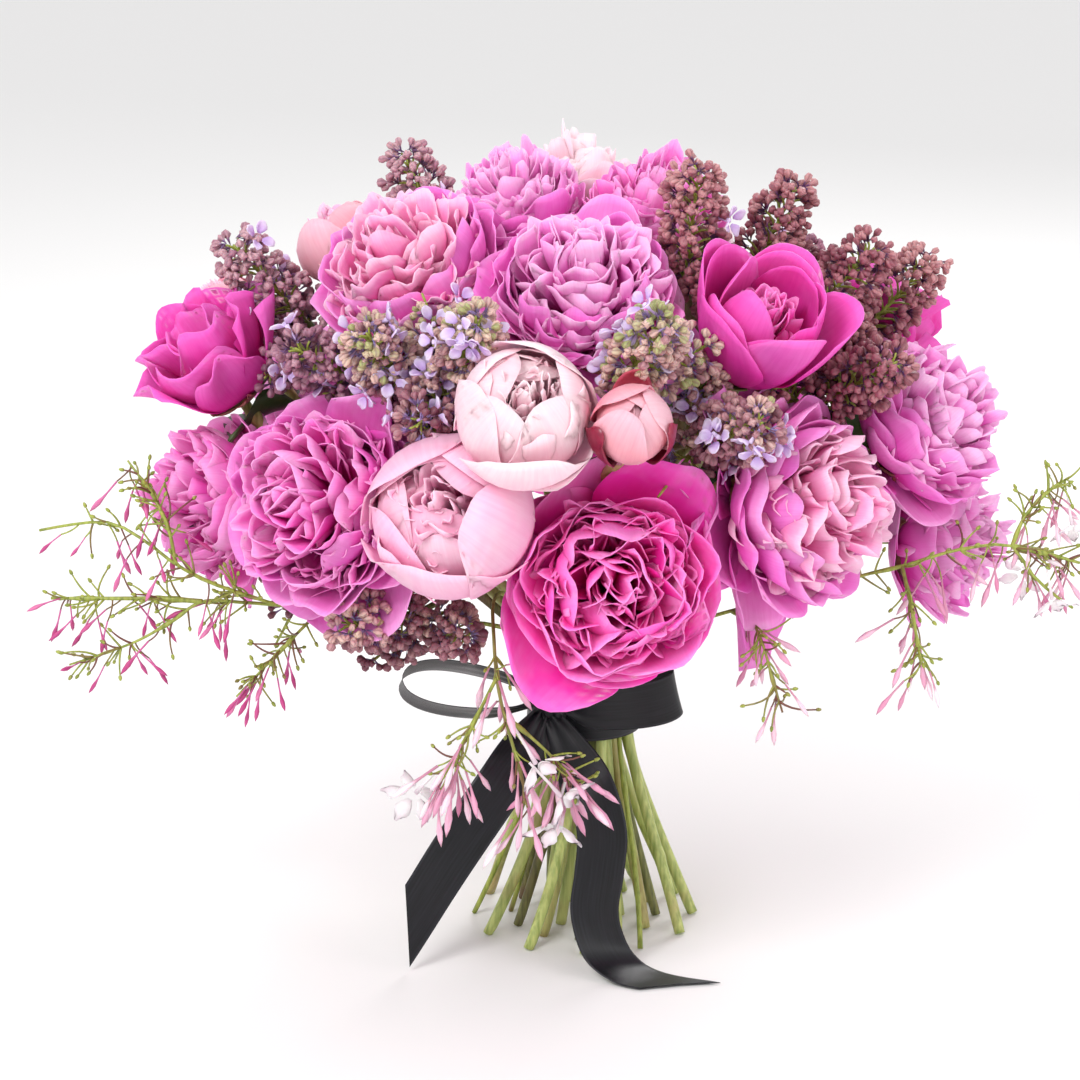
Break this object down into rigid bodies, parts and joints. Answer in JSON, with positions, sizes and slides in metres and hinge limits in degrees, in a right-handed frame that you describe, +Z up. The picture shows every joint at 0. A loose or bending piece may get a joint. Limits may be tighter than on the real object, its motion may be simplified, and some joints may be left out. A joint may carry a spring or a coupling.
{
  "type": "bunch of peonies",
  "caption": "Domed hand-tied bunch of peonies with lilac sprays and trailing jasmine, standing on its spiralled cut stems and tied with a black satin ribbon bow.",
  "frame": {"origin": "middle of the central stem's flat cut end, on the surface that the bunch stands on", "axes": "+Z up along the bundle of stems, -Y towards the front, where the deep pink bloom and the bow are, +X to the right seen from the front"},
  "size_m": [0.615, 0.4421, 0.4879],
  "materials": {
    "petals_pink": "soft satin petal, mid pink",
    "petals_soft_pink": "soft satin petal, light warm pink",
    "petals_mauve_pink": "soft satin petal, light cool pink",
    "petals_hot_pink": "soft satin petal, deep hot pink",
    "petals_magenta": "soft satin petal, magenta",
    "petals_blush": "soft satin petal, blush white",
    "petals_peach": "closed bud petal, peach pink with burgundy sepals",
    "stems_green": "smooth waxy green stalk",
    "lilac_florets": "matt clustered buds, burgundy and tan",
    "jasmine_vine": "thin green and dark red twig",
    "twine": "twisted plant fibre",
    "ribbon_satin": "black satin weave"
  },
  "bodies": {
    "root": {"peony_hot_pink_front": "petals_hot_pink", "peony_pink_globe": "petals_soft_pink", "peony_blush_globe": "petals_blush", "peony_bud_front": "petals_peach", "peony_pink_left_front": "petals_pink", "peony_pink_far_left": "petals_pink", "peony_magenta_far_left": "petals_magenta", "peony_bud_far_left": "petals_peach", "peony_pink_upper_left": "petals_soft_pink", "peony_peach_upper_left": "petals_peach", "peony_mauve_top": "petals_mauve_pink", "peony_pink_top": "petals_pink", "peony_white_top_back": "petals_blush", "peony_pink_centre": "petals_mauve_pink", "peony_magenta_cup": "petals_hot_pink", "peony_pink_right_front": "petals_soft_pink", "peony_pink_right": "petals_mauve_pink", "peony_pink_far_right_low": "petals_mauve_pink", "peony_magenta_right_back": "petals_magenta", "peony_pink_back_left": "petals_pink", "peony_hot_pink_back": "petals_hot_pink", "peony_pink_back_right": "petals_mauve_pink", "peony_blush_back": "petals_blush", "peony_magenta_back": "petals_magenta", "stem_hot_pink_front": "stems_green", "stem_pink_globe": "stems_green", "stem_blush_globe": "stems_green", "stem_pink_left_front": "stems_green", "stem_pink_far_left": "stems_green", "stem_magenta_far_left": "stems_green", "stem_pink_upper_left": "stems_green", "stem_mauve_top": "stems_green", "stem_pink_top": "stems_green", "stem_white_top_back": "stems_green", "stem_pink_centre": "stems_green", "stem_magenta_cup": "stems_green", "stem_pink_right_front": "stems_green", "stem_pink_right": "stems_green", "stem_pink_far_right_low": "stems_green", "stem_magenta_right_back": "stems_green", "stem_pink_back_left": "stems_green", "stem_hot_pink_back": "stems_green", "stem_pink_back_right": "stems_green", "stem_blush_back": "stems_green", "stem_magenta_back": "stems_green", "lilac_left": "lilac_florets", "lilac_centre_left": "lilac_florets", "lilac_centre_right": "lilac_florets", "lilac_upper_right": "lilac_florets", "lilac_right": "lilac_florets", "lilac_low_left": "lilac_florets", "lilac_back": "lilac_florets", "jasmine_left": "jasmine_vine", "jasmine_front": "jasmine_vine", "jasmine_right": "jasmine_vine", "twine_tie": "twine", "ribbon_wrap": "ribbon_satin", "ribbon_bow": "ribbon_satin", "ribbon_tail_left": "ribbon_satin", "ribbon_tail_right": "ribbon_satin"}
  },
  "joints": []
}
